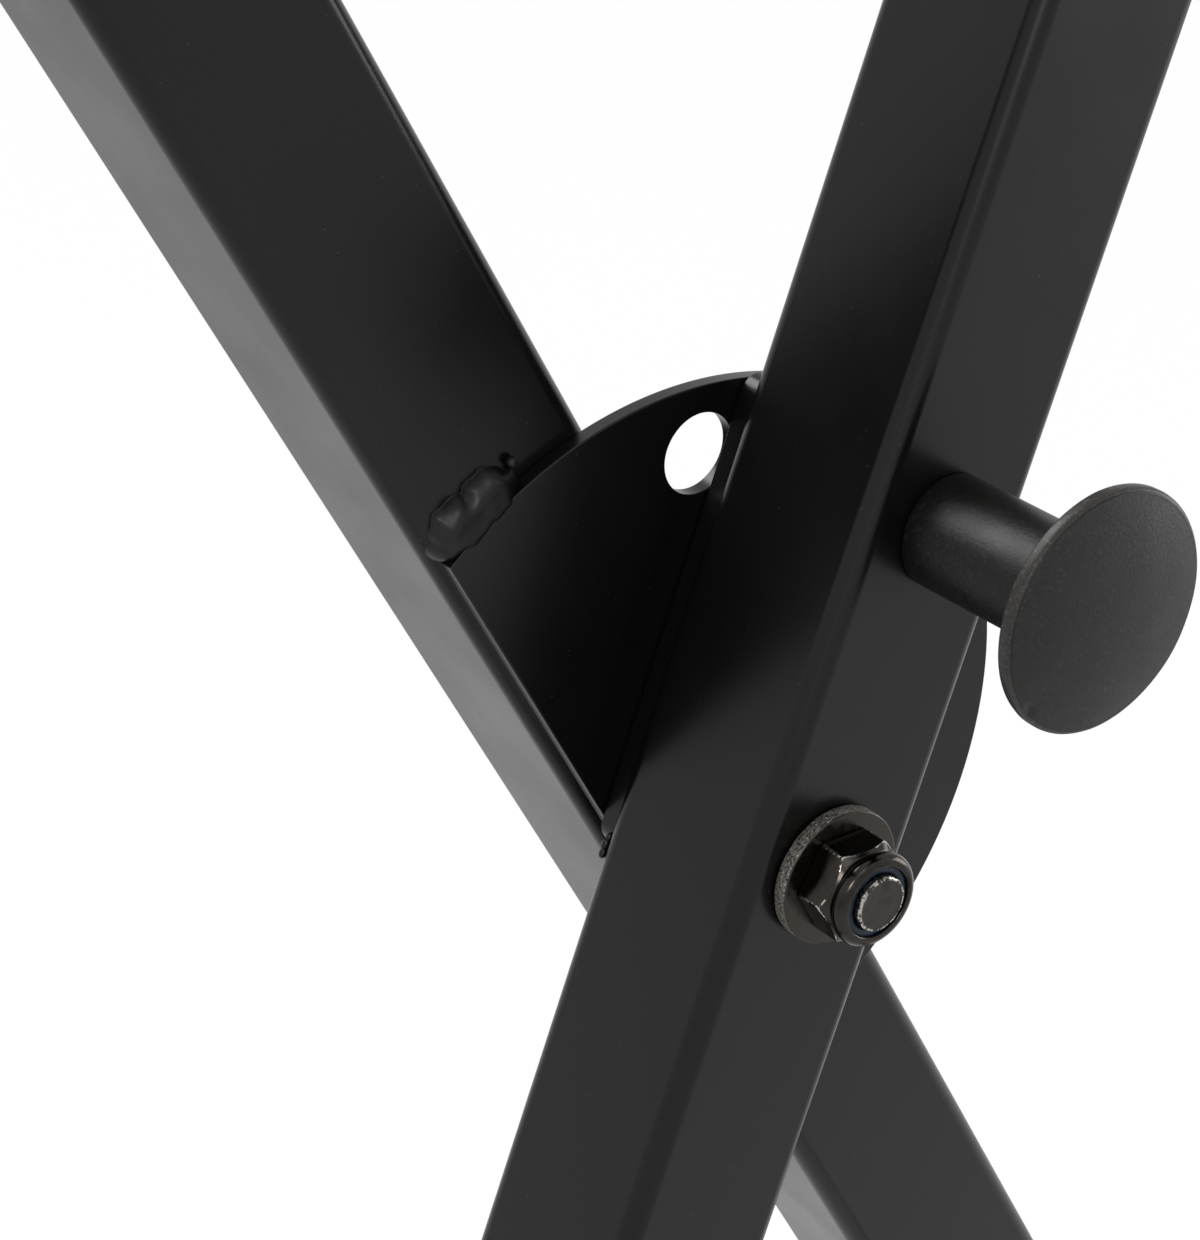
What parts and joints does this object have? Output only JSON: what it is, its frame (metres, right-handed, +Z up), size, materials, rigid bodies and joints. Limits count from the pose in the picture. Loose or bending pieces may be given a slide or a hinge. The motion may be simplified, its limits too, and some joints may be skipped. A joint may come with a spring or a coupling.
{
  "type": "folding keyboard stand",
  "caption": "Folding crossed-leg keyboard stand in square tube, with a spring pull-pin in a drilled index plate, padded arms and rubber-shod feet.",
  "frame": {"origin": "on the floor, under the middle of the stand as it stands open", "axes": "+Z up, Y along the fold axis and the foot and arm bars with the pull knob towards -Y, X across the two legs"},
  "size_m": [0.419, 0.4726, 0.8965],
  "materials": {
    "powder_coat": "satin black powder coat on steel",
    "weld": "glossy black coat over a weld bead",
    "black_plate": "bright black nickel plate",
    "bright_steel": "turned steel",
    "spring_steel": "oiled spring steel",
    "knob_plastic": "fine-grained matt black",
    "rubber": "matt black rubber",
    "nylon_blue": "dark blue nylon"
  },
  "bodies": {
    "rear_leg": {"rear_leg_tube": "powder_coat", "rear_pivot_sleeve": "bright_steel", "index_plate": "powder_coat", "index_plate_weld_upper": "weld", "index_plate_weld_lower": "weld", "pivot_bolt": "black_plate", "pivot_washer_back": "black_plate", "pivot_washer_front": "black_plate", "pivot_lock_nut": "black_plate", "pivot_nut_nylon_ring": "nylon_blue", "rear_leg_arm_bracket": "powder_coat", "rear_leg_arm_bar": "powder_coat", "rear_leg_arm_weld_front": "weld", "rear_leg_arm_weld_back": "weld", "rear_leg_arm_bolt_front": "black_plate", "rear_leg_arm_bolt_back": "black_plate", "rear_leg_arm_nut_front": "black_plate", "rear_leg_arm_nut_back": "black_plate", "rear_leg_arm_pad_front": "rubber", "rear_leg_arm_pad_back": "rubber", "rear_leg_foot_bracket": "powder_coat", "rear_leg_foot_bar": "powder_coat", "rear_leg_foot_weld_front": "weld", "rear_leg_foot_weld_back": "weld", "rear_leg_foot_bolt_front": "black_plate", "rear_leg_foot_bolt_back": "black_plate", "rear_leg_foot_nut_front": "black_plate", "rear_leg_foot_nut_back": "black_plate", "rear_leg_foot_shoe_front": "rubber", "rear_leg_foot_shoe_back": "rubber"},
    "front_leg": {"front_leg_tube": "powder_coat", "front_pivot_sleeve": "bright_steel", "lock_wear_plate": "powder_coat", "lock_spring": "spring_steel", "front_leg_arm_bracket": "powder_coat", "front_leg_arm_bar": "powder_coat", "front_leg_arm_weld_front": "weld", "front_leg_arm_weld_back": "weld", "front_leg_arm_bolt_front": "black_plate", "front_leg_arm_bolt_back": "black_plate", "front_leg_arm_nut_front": "black_plate", "front_leg_arm_nut_back": "black_plate", "front_leg_arm_pad_front": "rubber", "front_leg_arm_pad_back": "rubber", "front_leg_foot_bracket": "powder_coat", "front_leg_foot_bar": "powder_coat", "front_leg_foot_weld_front": "weld", "front_leg_foot_weld_back": "weld", "front_leg_foot_bolt_front": "black_plate", "front_leg_foot_bolt_back": "black_plate", "front_leg_foot_nut_front": "black_plate", "front_leg_foot_nut_back": "black_plate", "front_leg_foot_shoe_front": "rubber", "front_leg_foot_shoe_back": "rubber"},
    "lock_pin": {"lock_pin": "bright_steel", "lock_pin_clip": "spring_steel", "pull_knob": "knob_plastic"}
  },
  "joints": [
    {"name": "leg_fold", "type": "hinge", "parent": "rear_leg", "child": "front_leg", "pos_m": [0, 0, 0.44874], "axis": [0, 1, 0], "range_deg": [-42, 56.1]},
    {"name": "pin_pull", "type": "slide", "parent": "front_leg", "child": "lock_pin", "axis": [0, -1, 0], "range_m": [0, 0.009], "stiffness_N_per_m": 800, "springref_m": -0.012, "deforming": ["lock_spring"]}
  ]
}
